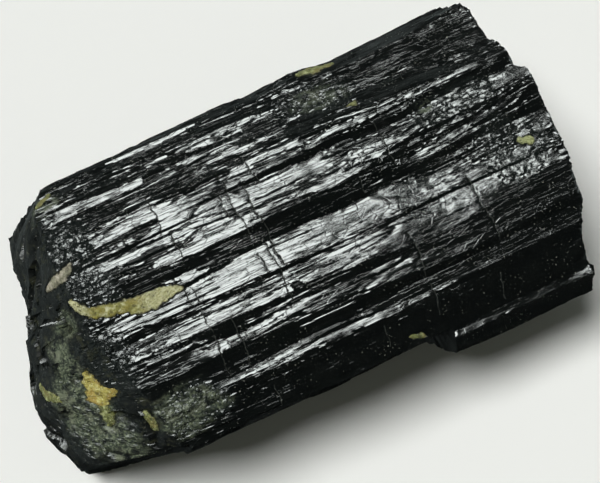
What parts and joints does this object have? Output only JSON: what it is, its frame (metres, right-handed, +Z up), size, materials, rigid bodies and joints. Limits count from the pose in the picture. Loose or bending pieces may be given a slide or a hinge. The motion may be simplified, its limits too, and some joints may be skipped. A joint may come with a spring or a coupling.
{
  "type": "tourmaline crystal",
  "caption": "Stub of black tourmaline lying on its side: a striated, rounded prism snapped across at both ends, with yellow clay in its cracks.",
  "frame": {"origin": "middle of the underside of the bounding box, on the surface the crystal lies on", "axes": "+X along the long axis of the crystal from its crusted end to its snapped end, +Y to the far side, +Z up"},
  "size_m": [0.0526, 0.0322, 0.024],
  "materials": {
    "schorl": "vitreous black, striated along its length, granular and broken at the ends",
    "vein_clay": "dull yellow to ochre clay and fine mica, granular"
  },
  "bodies": {
    "root": {"crystal": "schorl"}
  },
  "joints": []
}
